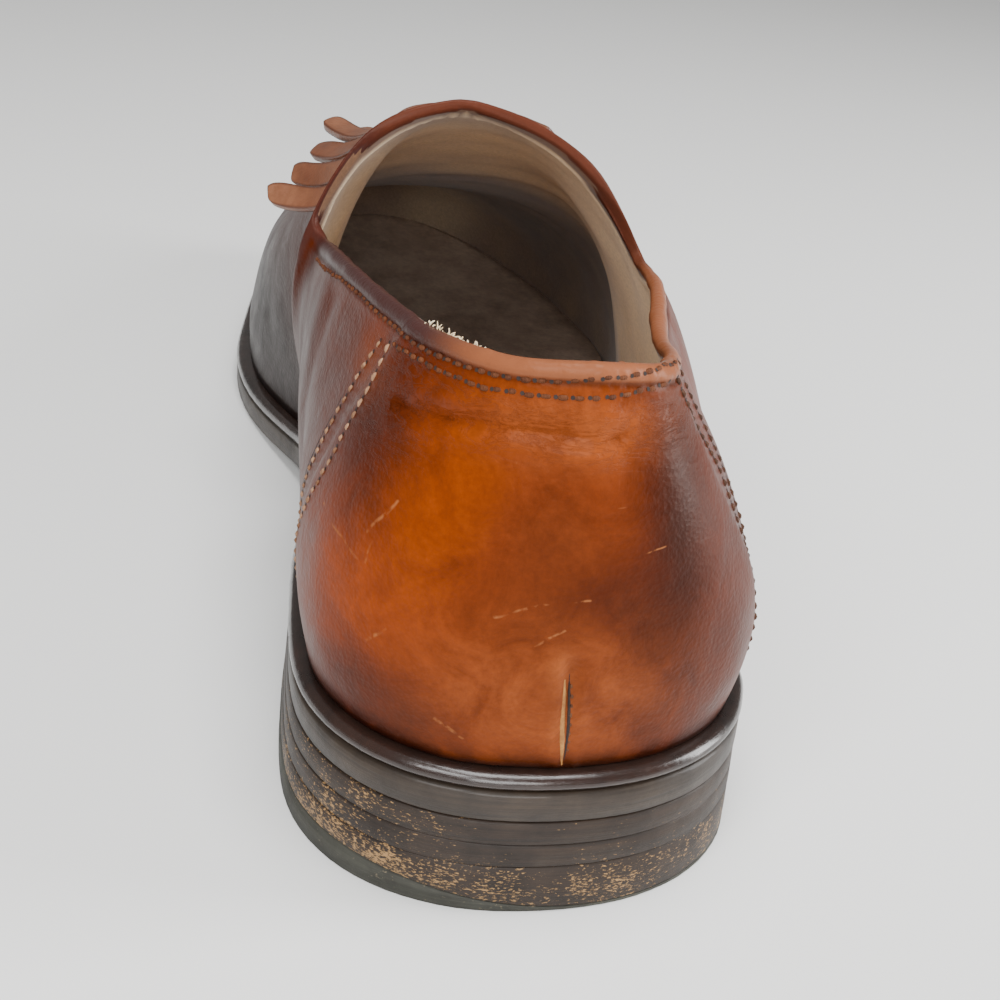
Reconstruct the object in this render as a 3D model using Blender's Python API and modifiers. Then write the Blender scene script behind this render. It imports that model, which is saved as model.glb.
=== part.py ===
"""Kiltie loafer, right shoe: one dress loafer with a fringed kiltie on its vamp."""

import math
from collections import namedtuple

import bpy
import bmesh
from mathutils import Vector
from mathutils.bvhtree import BVHTree

# Driving sizes, in metres
SOLE_LENGTH = 0.302
BALL_WIDTH = 0.104
HEEL_WIDTH = 0.075
TOE_SWING = 0.006
HEEL_ROUND = 0.037
TOE_ROUND = 0.050
HEEL_CENTRE = 0.037
HEEL_LENGTH = 0.074
HEEL_PITCH = 0.0015
HEEL_FLARE = 0.0010
BREAST_HOLLOW = 0.004
TOP_PIECE_THICKNESS = 0.0045
LIFT_THICKNESS = 0.0041
LIFT_COUNT = 3
OUTSOLE_THICKNESS = 0.0052
WELT_THICKNESS = 0.0028
WELT_WIDTH = 0.0095
LEDGE_WIDTH = 0.0032
TOE_SPRING = 0.010
EDGE_ROUND = 0.0006
INSOLE_THICKNESS = 0.0028
WALL = 0.0020
COLLAR_HEIGHT = 0.0632
INSTEP_HEIGHT = 0.0740
PANEL_STEP = 0.0009
BINDING_WIDTH = 0.0040
BINDING_STEP = 0.0005
KILTIE_THICKNESS = 0.0016
SLIT_SHARE = 0.07
CLEARANCE = 0.0003

# Heights that follow from the layers
HEEL_STACK = TOP_PIECE_THICKNESS + LIFT_COUNT * (LIFT_THICKNESS + CLEARANCE) + CLEARANCE
WELT_BASE = OUTSOLE_THICKNESS + CLEARANCE
FEATHER_BASE = WELT_BASE + WELT_THICKNESS + CLEARANCE

# Plan of the sole: share of the length, the width that the row follows, and both edges as shares of it
Edge = namedtuple("Edge", "along width medial lateral")
OUTLINE = [
    Edge(0.00, HEEL_WIDTH, 0.480, 0.500),
    Edge(0.12, HEEL_WIDTH, 0.490, 0.510),
    Edge(0.20, HEEL_WIDTH, 0.470, 0.520),
    Edge(0.30, HEEL_WIDTH, 0.415, 0.545),
    Edge(0.40, HEEL_WIDTH, 0.372, 0.600),
    Edge(0.48, BALL_WIDTH, 0.254, 0.480),
    Edge(0.56, BALL_WIDTH, 0.305, 0.545),
    Edge(0.64, BALL_WIDTH, 0.358, 0.600),
    Edge(0.70, BALL_WIDTH, 0.368, 0.610),
    Edge(0.80, BALL_WIDTH, 0.330, 0.562),
    Edge(0.90, BALL_WIDTH, 0.280, 0.470),
    Edge(1.00, BALL_WIDTH, 0.270, 0.400),
]
HEEL_POWER = 2.25
TOE_POWER = 2.2

# Underside of the outsole: share of the length, of the heel stack and of the toe spring
Rise = namedtuple("Rise", "along heel toe")
UNDERSIDE = [
    Rise(0.00, 1.00, 0.00),
    Rise(0.25, 1.00, 0.00),
    Rise(0.31, 0.90, 0.00),
    Rise(0.38, 0.66, 0.00),
    Rise(0.46, 0.36, 0.00),
    Rise(0.54, 0.13, 0.00),
    Rise(0.61, 0.02, 0.00),
    Rise(0.66, 0.00, 0.00),
    Rise(0.73, 0.00, 0.00),
    Rise(0.82, 0.00, 0.16),
    Rise(0.90, 0.00, 0.45),
    Rise(1.00, 0.00, 1.00),
]

# Sections of the upper, each a curve from the feather edge to the rim or the ridge.
# station: place round the feather edge, 0 at the back of the heel and 1 at the toe
# top: the rim or ridge point, as a share of the sole's length
# medial, lateral: that point's distance from the heel's axis, as shares of the ball width
# high, low: its height above the feather edge of the heel, medial and lateral, as shares of HEIGHT
# height: the named height that the row follows
# lean_in, lean_out: the slope of the wall there, medial and lateral, in degrees from level
# flare_in, flare_out: its outward slope at the feather edge, in degrees from upright
# ahead: share by which the curve arrives from ahead and not from the side
# foot, head: how far each end of the curve keeps its slope
Section = namedtuple("Section", "station top medial lateral height high low"
                     " lean_in lean_out flare_in flare_out ahead foot head")
SECTIONS = [
    Section(0.000, 0.020, 0.000, 0.000, COLLAR_HEIGHT, 1.000, 1.000, 78, 78, 12, 12, 0.00, 0.36, 0.34),
    Section(0.090, 0.034, 0.092, 0.088, COLLAR_HEIGHT, 0.980, 0.972, 74, 74, 15, 15, 0.00, 0.36, 0.34),
    Section(0.180, 0.082, 0.182, 0.156, COLLAR_HEIGHT, 0.950, 0.915, 68, 62, 17, 19, 0.00, 0.37, 0.36),
    Section(0.270, 0.165, 0.238, 0.206, COLLAR_HEIGHT, 0.912, 0.815, 66, 52, 14, 19, 0.00, 0.36, 0.39),
    Section(0.350, 0.265, 0.272, 0.285, COLLAR_HEIGHT, 0.850, 0.785, 66, 48, 13, 19, 0.00, 0.36, 0.41),
    Section(0.405, 0.335, 0.276, 0.320, COLLAR_HEIGHT, 0.770, 0.730, 68, 53, 10, 16, 0.00, 0.36, 0.39),
    Section(0.425, 0.342, 0.292, 0.315, COLLAR_HEIGHT, 0.815, 0.750, 66, 56, 8, 13, 0.05, 0.36, 0.36),
    Section(0.455, 0.349, 0.215, 0.228, INSTEP_HEIGHT, 0.895, 0.840, 44, 48, 7, 10, 0.20, 0.40, 0.28),
    Section(0.485, 0.353, 0.115, 0.100, INSTEP_HEIGHT, 0.976, 0.955, 16, 20, 5, 8, 0.36, 0.42, 0.30),
    Section(0.510, 0.355, 0.025, -0.025, INSTEP_HEIGHT, 1.000, 1.000, 0, 0, 4, 6, 0.50, 0.44, 0.34),
    Section(0.570, 0.440, 0.020, -0.020, INSTEP_HEIGHT, 0.855, 0.855, 0, 0, 3, 7, 0.34, 0.45, 0.42),
    Section(0.650, 0.580, -0.020, 0.020, INSTEP_HEIGHT, 0.580, 0.580, 0, 0, 6, 11, 0.14, 0.51, 0.48),
    Section(0.740, 0.720, -0.065, 0.065, INSTEP_HEIGHT, 0.375, 0.375, 0, 0, 12, 14, 0.00, 0.60, 0.54),
    Section(0.840, 0.840, -0.080, 0.080, INSTEP_HEIGHT, 0.255, 0.255, 0, 0, 12, 12, 0.00, 0.62, 0.58),
    Section(0.930, 0.915, -0.070, 0.070, INSTEP_HEIGHT, 0.190, 0.190, 0, 0, 10, 10, 0.00, 0.62, 0.58),
    Section(1.000, 0.945, -0.060, 0.060, INSTEP_HEIGHT, 0.160, 0.160, 0, 0, 8, 8, 0.00, 0.62, 0.58),
]
THROAT_STATION = 0.51
NORMAL_STEP = 0.012
WALL_ROW_COUNT = 11

# The topline's binding: where it starts, and where it ends at the tongue
BINDING_RISE = 1 - BINDING_WIDTH / COLLAR_HEIGHT
BINDING_EDGE = 0.012
BINDING_END = 0.405
BINDING_FADE = 0.03

# Softening of the mesh ahead of the quarters, above the firm rows at the feather edge
SOFT_STATION = 0.43
SOFT_PASSES = 5
FIRM_ROW_COUNT = 2

# The back panel's seams, medial and lateral: their stations at the feather edge and at the rim
SEAM_FOOT = {-1: 0.272, 1: 0.200}
SEAM_HEAD = {-1: 0.213, 1: 0.130}
SEAM_STEP = 0.004

# Fan of the kiltie on the vamp: its centre as a share of the sole's length, its half angle in degrees,
# and its reaches from the centre: the back edge, the roots of the strips and their tips
FAN_CENTRE = 0.335
FAN_ANGLE = 50.0
FAN_SPLAY = 1.05
BASE_REACH = 0.022
ROOT_REACH = 0.036
STRIP_LENGTH = 0.034
TIP_LIFT = 0.012

# Strips of the fringe: share of the strip's length, of its width and of its lift
Strip = namedtuple("Strip", "along width lift")
STRIP_ROWS = [
    Strip(0.22, 1.14, 0.02),
    Strip(0.45, 1.32, 0.10),
    Strip(0.68, 1.52, 0.34),
    Strip(0.88, 1.62, 0.74),
    Strip(0.97, 1.36, 0.94),
    Strip(1.00, 0.86, 1.00),
]
# Each strip from the medial side to the lateral one: shares of the strip's length and of the tip's lift
Tip = namedtuple("Tip", "length lift")
TIPS = [
    Tip(1.06, 1.00),
    Tip(1.00, 0.54),
    Tip(0.94, 0.42),
    Tip(1.00, 0.75),
    Tip(1.02, 0.45),
    Tip(1.04, 0.52),
    Tip(1.00, 0.40),
    Tip(1.03, 0.36),
    Tip(1.00, 0.42),
    Tip(0.98, 0.32),
    Tip(1.00, 0.34),
    Tip(0.96, 0.26),
    Tip(0.92, 0.30),
    Tip(0.80, 0.22),
]
AXIS_HEIGHT = 0.045


def smooth(rows, key, column, at):
    """Value of one column at a place between the rows, through all rows without overshoot."""
    xs = [getattr(row, key) for row in rows]
    ys = [column(row) for row in rows]
    if at <= xs[0]:
        return ys[0]
    if at >= xs[-1]:
        return ys[-1]
    steps = [b - a for a, b in zip(xs, xs[1:])]
    slopes = [(b - a) / h for a, b, h in zip(ys, ys[1:], steps)]
    ends = [slopes[0]]
    for before, after, h0, h1 in zip(slopes, slopes[1:], steps, steps[1:]):
        if before * after <= 0:
            ends.append(0.0)
        else:
            w0 = 2 * h1 + h0
            w1 = h1 + 2 * h0
            ends.append((w0 + w1) / (w0 / before + w1 / after))
    ends.append(slopes[-1])
    i = max(k for k in range(len(steps)) if xs[k] <= at)
    h = steps[i]
    t = (at - xs[i]) / h
    rest = 1 - t
    start = ys[i] * (1 + 2 * t) * rest * rest + h * ends[i] * t * rest * rest
    return start + ys[i + 1] * t * t * (3 - 2 * t) - h * ends[i + 1] * t * t * rest


def share_of(station):
    """Share of the length at a station: the stations crowd at the heel's back and the toe."""
    return (1 - math.cos(math.pi * station)) / 2


def edge_point(side, station):
    """Point of the sole's plan on one side, -1 medial and 1 lateral, from the heel's back."""
    along = share_of(station)
    wide = smooth(OUTLINE, "along", lambda r: r.width * (r.medial if side < 0 else r.lateral), along)
    y = along * SOLE_LENGTH
    swing = TOE_SWING * max(0.0, (along - 0.5) / 0.5) ** 2
    heel = min(1.0, y / HEEL_ROUND)
    toe = min(1.0, (SOLE_LENGTH - y) / TOE_ROUND)
    closing = (1 - (1 - heel) ** HEEL_POWER) ** (1 / HEEL_POWER)
    closing *= (1 - (1 - toe) ** TOE_POWER) ** (1 / TOE_POWER)
    return Vector((swing + (side * wide - swing) * closing, y, 0))


def edge_outward(side, station):
    """Level direction that points out of the sole's plan at a station."""
    if station <= 0:
        return Vector((0, -1, 0))
    if station >= 1:
        return Vector((0, 1, 0))
    step = 0.002
    run = edge_point(side, min(1, station + step)) - edge_point(side, max(0, station - step))
    return Vector((side * run.y, -side * run.x, 0)).normalized()


def underside(y):
    """Height of the outsole's underside at a distance from the heel's back."""
    along = y / SOLE_LENGTH
    heel = smooth(UNDERSIDE, "along", lambda r: r.heel, along)
    toe = smooth(UNDERSIDE, "along", lambda r: r.toe, along)
    return heel * HEEL_STACK + toe * TOE_SPRING


def inset_point(side, station, inset, above):
    """Point inside the plan by inset, at a height above the outsole's underside."""
    point = edge_point(side, station) - edge_outward(side, station) * inset
    point.z = underside(point.y) + above
    return point


def place(point):
    """The same point with the origin under the middle of the heel."""
    return Vector((point.x, point.y - HEEL_CENTRE, point.z))


def ring(inset, above):
    """Closed ring of the plan, from the heel's back along the lateral side and back."""
    lateral = [inset_point(1, slanted(1, s, 0.0), inset, above) for s in upper_stations(1)]
    medial = [inset_point(-1, slanted(-1, s, 0.0), inset, above) for s in upper_stations(-1)[-2:0:-1]]
    return [place(p) for p in lateral + medial]


def rgb(red, green, blue):
    return (red, green, blue, 1.0)


def material(name, colour, roughness):
    mat = bpy.data.materials.new(name)
    mat.use_nodes = True
    shader = mat.node_tree.nodes["Principled BSDF"]
    shader.inputs["Base Color"].default_value = colour
    shader.inputs["Roughness"].default_value = roughness
    mat.diffuse_color = colour
    return mat


def add_object(name, bm, mat, collection, smooth_angle=40):
    """Finish a mesh, weld its seams and add it as one named piece."""
    bmesh.ops.remove_doubles(bm, verts=bm.verts[:], dist=0.00001)
    bmesh.ops.recalc_face_normals(bm, faces=bm.faces[:])
    mesh = bpy.data.meshes.new(name)
    bm.to_mesh(mesh)
    bm.free()
    mesh.materials.append(mat)
    mesh.shade_smooth()
    mesh.set_sharp_from_angle(angle=math.radians(smooth_angle))
    obj = bpy.data.objects.new(name, mesh)
    collection.objects.link(obj)
    return obj


def loft_rings(bm, rings, closed_profile=False, capped=True):
    """Join rings of equal count; the first and last are closed by rungs across the plan."""
    layers = [[bm.verts.new(p) for p in loop] for loop in rings]
    pairs = list(zip(layers, layers[1:]))
    if closed_profile:
        pairs.append((layers[-1], layers[0]))
    for low, high in pairs:
        for i in range(len(low)):
            j = (i + 1) % len(low)
            bm.faces.new((low[i], low[j], high[j], high[i]))
    if capped:
        for layer in (layers[0], layers[-1]):
            rungs(bm, layer)


def rungs(bm, layer):
    """Faces that reach across a ring, from its lateral to its medial side."""
    count = len(layer)
    half = count // 2
    for i in range(half):
        corners = [layer[i], layer[i + 1], layer[-i - 1], layer[-i % count]]
        faces = []
        for vert in corners:
            if vert not in faces:
                faces.append(vert)
        bm.faces.new(faces)


def heel_ring(low_share, inset=0.0):
    """Plan of the heel at a share of the stack's height, closed by its hollow breast."""
    count = 14
    last = math.acos(1 - 2 * HEEL_LENGTH / SOLE_LENGTH) / math.pi
    stations = [last * i / count for i in range(count + 1)]
    shrink = 1 - (HEEL_PITCH + HEEL_FLARE) * (1 - low_share) / HEEL_LENGTH
    sides = []
    for side in (1, -1):
        spread = HEEL_FLARE * (1 - low_share) - inset
        edge = [edge_point(side, s) + edge_outward(side, s) * spread for s in stations]
        for p in edge:
            p.y = HEEL_LENGTH - (HEEL_LENGTH - p.y) * shrink
        sides.append(edge)
    lateral, medial = sides
    front = []
    for i in range(1, 8):
        across = i / 8
        point = lateral[-1].lerp(medial[-1], across)
        point.y -= BREAST_HOLLOW * 4 * across * (1 - across)
        front.append(point)
    return [p.copy() for p in lateral + front + medial[-1:0:-1]]


def heel_slab(name, base, thickness, mat, collection):
    """One flat layer of the heel with softened edges."""
    bm = bmesh.new()
    levels = [
        (EDGE_ROUND / 2, 0.0),
        (0.0, EDGE_ROUND / 2),
        (0.0, thickness - EDGE_ROUND / 2),
        (EDGE_ROUND / 2, thickness),
    ]
    layers = []
    for inset, up in levels:
        loop = heel_ring((base + up) / HEEL_STACK, inset)
        for p in loop:
            p.z = base + up
        layers.append([bm.verts.new(place(p)) for p in loop])
    for low, high in zip(layers, layers[1:]):
        for i in range(len(low)):
            j = (i + 1) % len(low)
            bm.faces.new((low[i], low[j], high[j], high[i]))
    bm.faces.new(layers[0])
    bm.faces.new(layers[-1])
    return add_object(name, bm, mat, collection, 30)


def make_heel(collection, rubber, stack):
    heel_slab("heel_top_piece", 0.0, TOP_PIECE_THICKNESS, rubber, collection)
    base = TOP_PIECE_THICKNESS + CLEARANCE
    for number in range(LIFT_COUNT):
        heel_slab("heel_lift_%d" % (number + 1), base, LIFT_THICKNESS, stack, collection)
        base += LIFT_THICKNESS + CLEARANCE


def make_outsole(collection, mat):
    bm = bmesh.new()
    thick = OUTSOLE_THICKNESS
    profile = [(EDGE_ROUND, 0.0), (0.0, EDGE_ROUND), (0.0, thick - EDGE_ROUND), (EDGE_ROUND, thick)]
    loft_rings(bm, [ring(inset, above) for inset, above in profile])
    return add_object("outsole", bm, mat, collection)


def make_welt(collection, mat):
    """Rounded band all round, with the ledge that the upper's edge stands on."""
    bm = bmesh.new()
    base = WELT_BASE
    top = WELT_BASE + WELT_THICKNESS
    round_out = WELT_THICKNESS * 0.35
    profile = [
        (EDGE_ROUND * 0.5, base),
        (-EDGE_ROUND * 0.4, base + round_out),
        (0.0, top - round_out),
        (round_out, top),
        (WELT_WIDTH, top),
        (WELT_WIDTH, base),
    ]
    loft_rings(bm, [ring(inset, above) for inset, above in profile], True, False)
    return add_object("welt", bm, mat, collection)


def make_insole(collection, mat):
    """Board inside the welt with its flange over it, up to the upper's inner wall."""
    bm = bmesh.new()
    seat = FEATHER_BASE
    inner = LEDGE_WIDTH + WALL + CLEARANCE * 2
    profile = [
        (WELT_WIDTH + CLEARANCE, WELT_BASE),
        (WELT_WIDTH + CLEARANCE, seat),
        (inner, seat),
        (inner, seat + INSOLE_THICKNESS - EDGE_ROUND),
        (inner + EDGE_ROUND, seat + INSOLE_THICKNESS),
    ]
    loft_rings(bm, [ring(inset, above) for inset, above in profile])
    return add_object("insole", bm, mat, collection)


def column(side, name):
    """Reader of a section's column, by side where the two differ."""
    if name == "across":
        return lambda r: (-r.medial if side < 0 else r.lateral) * BALL_WIDTH
    if name == "tall":
        return lambda r: (r.high if side < 0 else r.low) * r.height
    if name in ("lean", "flare"):
        return lambda r: getattr(r, name + ("_in" if side < 0 else "_out"))
    return lambda r: getattr(r, name)


def section_value(side, station, name):
    return smooth(SECTIONS, "station", column(side, name), station)


def rim_point(side, station):
    """Top of a section: the collar's rim, the tongue's edge or the ridge that both sides share."""
    sides = (-1, 1) if station >= THROAT_STATION else (side,)
    across = sum(section_value(k, station, "across") for k in sides) / len(sides)
    tall = sum(section_value(k, station, "tall") for k in sides) / len(sides)
    y = section_value(side, station, "top") * SOLE_LENGTH
    return Vector((across, y, HEEL_STACK + FEATHER_BASE + tall))


def ridge_slope(station):
    step = 0.004
    a = rim_point(1, max(THROAT_STATION, station - step))
    b = rim_point(1, min(1, station + step))
    return (b.z - a.z) / (b.y - a.y)


def last_point(side, station, rise):
    """Outer face of the upper: a curve from the feather edge, rise 0, to the rim or ridge, rise 1."""
    foot = inset_point(side, station, LEDGE_WIDTH, FEATHER_BASE)
    head = rim_point(side, station)
    outward = edge_outward(side, station)
    flare = math.radians(section_value(side, station, "flare"))
    lean = math.radians(section_value(side, station, "lean"))
    tall = head.z - foot.z
    wide = (Vector((head.x, head.y, 0)) - Vector((foot.x, foot.y, 0))).length
    foot_pull = section_value(side, station, "foot") * tall
    head_pull = section_value(side, station, "head") * (wide * math.cos(lean) + tall * math.sin(lean))
    foot_dir = outward * math.sin(flare) + Vector((0, 0, math.cos(flare)))
    slope = ridge_slope(max(station, THROAT_STATION))
    level = outward.copy()
    if station >= THROAT_STATION:
        level.z = slope * level.y
    level = level.lerp(Vector((0, 1, slope)), section_value(side, station, "ahead")).normalized()
    head_dir = level * math.cos(lean) - Vector((0, 0, math.sin(lean)))
    a = foot + foot_dir * foot_pull
    b = head + head_dir * head_pull
    t = rise
    s = 1 - t
    return foot * s ** 3 + a * (3 * s * s * t) + b * (3 * s * t * t) + head * t ** 3


def last_normal(side, station, rise):
    """Outward normal of the upper's outer face, the same from both sides on the centre lines."""
    step = NORMAL_STEP
    s0 = max(0.0, station - step)
    s1 = min(1.0, station + step)
    r0 = max(0.0, rise - step)
    r1 = min(1.0, rise + step)
    along = last_point(side, s1, rise) - last_point(side, s0, rise)
    up = last_point(side, station, r1) - last_point(side, station, r0)
    if rise == 1.0 and station >= THROAT_STATION:
        along = Vector((0, 1, ridge_slope(station)))
        up = Vector((-side, 0, 0))
    elif station == 0.0:
        along = Vector((side, 0, 0))
    elif station == 1.0:
        along = Vector((-side, 0, 0))
    return (along.cross(up) * side).normalized()


def seam_station(side, rise):
    """Station of the back panel's seam on one side, at a rise."""
    return SEAM_FOOT[side] + (SEAM_HEAD[side] - SEAM_FOOT[side]) * rise


def wall_point(side, station, rise, depth):
    """Point of the wall: depth 0 is the outer face with its steps, 1 the lining face."""
    lift = PANEL_STEP if station < seam_station(side, rise) else 0.0
    if rise > BINDING_RISE:
        lift += BINDING_STEP * max(0.0, min(1.0, (BINDING_END - station) / BINDING_FADE))
    if rise == 0.0:
        inset = LEDGE_WIDTH + (WALL if depth else -lift)
        return inset_point(side, station, inset, FEATHER_BASE)
    point = last_point(side, station, rise)
    normal = last_normal(side, station, rise)
    return point + normal * (-WALL if depth else lift)


def upper_stations(side):
    """Stations of the upper's mesh on one side, with a close pair at the seam."""
    head = SEAM_HEAD[side]
    back = [head * i / 12 for i in range(12)]
    seam = [head - SEAM_STEP, head]
    quarter = [head + (BINDING_END - head) * i / 9 for i in range(1, 10)]
    tongue = [0.415, 0.425, 0.44, 0.455, 0.47, 0.485, 0.4975, THROAT_STATION]
    vamp = [THROAT_STATION + (1 - THROAT_STATION) * i / 18 for i in range(1, 19)]
    return back + seam + quarter + tongue + vamp


def slanted(side, station, rise):
    """Station shifted so that the mesh runs along the back panel's seam."""
    head = SEAM_HEAD[side]
    if station <= head:
        return station / head * seam_station(side, rise)
    fade = max(0.0, (THROAT_STATION - station) / (THROAT_STATION - head))
    return station + (seam_station(side, rise) - head) * fade


def upper_rises(station):
    """Rises of the mesh at a station, with a close pair at the topline's binding."""
    bound = [BINDING_RISE * i / WALL_ROW_COUNT for i in range(WALL_ROW_COUNT + 1)]
    bound += [BINDING_RISE + BINDING_EDGE, 1.0]
    last = len(bound) - 1
    spread = max(0.0, min(1.0, (station - BINDING_END) / (THROAT_STATION - BINDING_END)))
    return [rise + (i / last - rise) * spread for i, rise in enumerate(bound)]


def make_upper(collection, mat):
    """Hollow upper: outer and lining faces, joined at the rim and at the feather edge."""
    bm = bmesh.new()
    soft = []
    for side in (-1, 1):
        stations = upper_stations(side)
        faces = []
        for depth in (0, 1):
            grid = []
            for s in stations:
                rises = upper_rises(s)
                points = [wall_point(side, slanted(side, s, r), r, depth) for r in rises]
                row = [bm.verts.new(place(p)) for p in points]
                grid.append(row)
                if SOFT_STATION < s < 1:
                    soft += row[FIRM_ROW_COUNT:len(row) if s > THROAT_STATION else -1]
            for a, b in zip(grid, grid[1:]):
                for i in range(len(a) - 1):
                    bm.faces.new((a[i], a[i + 1], b[i + 1], b[i]))
            faces.append(grid)
        outer, inner = faces
        for i in range(len(stations) - 1):
            bm.faces.new((outer[i][0], outer[i + 1][0], inner[i + 1][0], inner[i][0]))
            if stations[i + 1] <= THROAT_STATION:
                bm.faces.new((outer[i][-1], outer[i + 1][-1], inner[i + 1][-1], inner[i][-1]))
    bmesh.ops.remove_doubles(bm, verts=bm.verts[:], dist=0.00001)
    soft = [v for v in soft if v.is_valid]
    for _ in range(SOFT_PASSES):
        bmesh.ops.smooth_vert(bm, verts=soft, factor=0.5, use_axis_x=True, use_axis_y=True, use_axis_z=True)
    return add_object("upper", bm, mat, collection)


def surface_finder(obj):
    """Finder of points above a piece, by distances along and across from the fan's centre."""
    tree = BVHTree.FromPolygons([v.co for v in obj.data.vertices], [p.vertices for p in obj.data.polygons])
    radius = INSTEP_HEIGHT + HEEL_STACK + FEATHER_BASE - AXIS_HEIGHT

    def find(along, across, seat, lift=0.0):
        centre = place(Vector((0, FAN_CENTRE * SOLE_LENGTH + along, 0)))
        centre.z = AXIS_HEIGHT
        turn = across / radius
        direction = Vector((math.sin(turn), 0, math.cos(turn)))
        hit, normal, _, _ = tree.ray_cast(centre + direction * radius * 3, -direction)
        if normal.dot(direction) < 0:
            normal = -normal
        return hit + normal * seat + direction * lift

    return find


def make_kiltie(collection, mat, upper):
    """Kiltie: one base over the tongue whose front edge is cut into fanned strips."""
    find = surface_finder(upper)
    bm = bmesh.new()
    seat = CLEARANCE * 3
    strip_angle = 2 * FAN_ANGLE / len(TIPS)

    def fan_vert(reach, degrees, aside=0.0, lift=0.0):
        turn = math.radians(degrees)
        along = reach * math.cos(turn) - aside * math.sin(turn)
        across = reach * math.sin(turn) + aside * math.cos(turn)
        return bm.verts.new(find(along, across, seat, lift))

    def fill(low, high):
        for i in range(len(low) - 1):
            bm.faces.new((low[i], low[i + 1], high[i + 1], high[i]))

    middles = [strip_angle * (k + 0.5) - FAN_ANGLE for k in range(len(TIPS))]
    base = []
    for toward_root in (0.0, 0.5, 1.0):
        reach = BASE_REACH + (ROOT_REACH - BASE_REACH) * toward_root
        gap = 1 / 3 + (SLIT_SHARE - 1 / 3) * toward_root
        half = strip_angle * (1 - gap) / 2
        base.append([fan_vert(reach, m + turn) for m in middles for turn in (-half, 0, half)])
    for low, high in zip(base, base[1:]):
        fill(low, high)
    half_width = math.radians(strip_angle) * ROOT_REACH * (1 - SLIT_SHARE) / 2
    for k, (middle, tip) in enumerate(zip(middles, TIPS)):
        last = base[-1][3 * k:3 * k + 3]
        for row in STRIP_ROWS:
            turn = middle * (1 + (FAN_SPLAY - 1) * row.along)
            reach = ROOT_REACH + row.along * tip.length * STRIP_LENGTH
            lift = row.lift * tip.lift * TIP_LIFT
            wide = half_width * row.width
            line = [fan_vert(reach, turn, aside, lift) for aside in (-wide, 0, wide)]
            fill(last, line)
            last = line
    kiltie = add_object("kiltie", bm, mat, collection)
    shell = kiltie.modifiers.new("thickness", "SOLIDIFY")
    shell.thickness = KILTIE_THICKNESS
    shell.offset = 1.0
    return kiltie


def main():
    for obj in list(bpy.data.objects):
        bpy.data.objects.remove(obj, do_unlink=True)
    collection = bpy.data.collections.new("kiltie_loafer")
    bpy.context.scene.collection.children.link(collection)
    leather = material("cognac_leather", rgb(0.33, 0.10, 0.03), 0.4)
    fringe = material("kiltie_leather", rgb(0.30, 0.12, 0.07), 0.5)
    edge = material("edge_dressing", rgb(0.03, 0.02, 0.018), 0.25)
    stack = material("stacked_leather", rgb(0.10, 0.07, 0.05), 0.6)
    rubber = material("heel_rubber", rgb(0.05, 0.05, 0.05), 0.8)
    lining = material("insole_leather", rgb(0.06, 0.045, 0.04), 0.7)
    make_heel(collection, rubber, stack)
    make_outsole(collection, stack)
    make_welt(collection, edge)
    make_insole(collection, lining)
    upper = make_upper(collection, leather)
    make_kiltie(collection, fringe, upper)


main()
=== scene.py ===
import math
import random
import bpy
import bmesh
from mathutils import Matrix, Vector, noise
from mathutils.bvhtree import BVHTree
from mathutils.kdtree import KDTree


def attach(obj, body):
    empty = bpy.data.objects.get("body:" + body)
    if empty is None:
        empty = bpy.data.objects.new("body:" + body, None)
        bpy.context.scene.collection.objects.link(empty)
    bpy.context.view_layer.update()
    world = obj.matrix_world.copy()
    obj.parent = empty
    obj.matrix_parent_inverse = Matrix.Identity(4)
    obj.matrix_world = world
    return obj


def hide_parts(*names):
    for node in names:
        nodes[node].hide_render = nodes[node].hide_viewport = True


print("stage: frame")
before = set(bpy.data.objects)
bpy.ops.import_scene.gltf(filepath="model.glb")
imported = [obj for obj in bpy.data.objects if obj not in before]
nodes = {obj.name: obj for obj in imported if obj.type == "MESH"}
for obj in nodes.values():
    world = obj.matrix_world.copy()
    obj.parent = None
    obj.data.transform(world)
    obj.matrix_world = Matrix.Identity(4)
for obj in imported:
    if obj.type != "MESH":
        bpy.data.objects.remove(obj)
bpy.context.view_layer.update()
draw = random.Random(7)


# Nodes of a material, made in short lines

def newMaterial(name):
    mat = bpy.data.materials.new(name)
    mat.use_nodes = True
    tree = mat.node_tree
    shader = tree.nodes["Principled BSDF"]
    return mat, tree, shader


def put(tree, kind, **values):
    # a new node; each value is one of its fields or, with _ for a space, one of its inputs
    node = tree.nodes.new(kind)
    for key, value in values.items():
        if hasattr(node, key):
            setattr(node, key, value)
        else:
            node.inputs[key.replace("_", " ")].default_value = value
    return node


def objectPlace(tree, scale=(1, 1, 1)):
    # object coordinates, stretched where a pattern needs it
    coords = put(tree, "ShaderNodeTexCoord")
    mapping = put(tree, "ShaderNodeMapping")
    mapping.inputs["Scale"].default_value = scale
    tree.links.new(coords.outputs["Object"], mapping.inputs["Vector"])
    return mapping.outputs["Vector"]


def noiseOf(tree, place, scale, detail=3, roughness=0.5, distortion=0.0):
    node = put(tree, "ShaderNodeTexNoise", Scale=scale, Detail=detail, Roughness=roughness,
               Distortion=distortion)
    tree.links.new(place, node.inputs["Vector"])
    return node.outputs["Fac"]


def ramp(tree, fac, low, high, start=0.0, end=1.0):
    # a straight ramp from start at low to end at high
    node = put(tree, "ShaderNodeMapRange")
    node.inputs["From Min"].default_value = low
    node.inputs["From Max"].default_value = high
    node.inputs["To Min"].default_value = start
    node.inputs["To Max"].default_value = end
    tree.links.new(fac, node.inputs["Value"])
    return node.outputs["Result"]


def maths(tree, operation, a, b):
    node = put(tree, "ShaderNodeMath", operation=operation)
    for socket, value in zip(node.inputs, (a, b)):
        if isinstance(value, (int, float)):
            socket.default_value = value
        else:
            tree.links.new(value, socket)
    return node.outputs[0]


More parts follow.
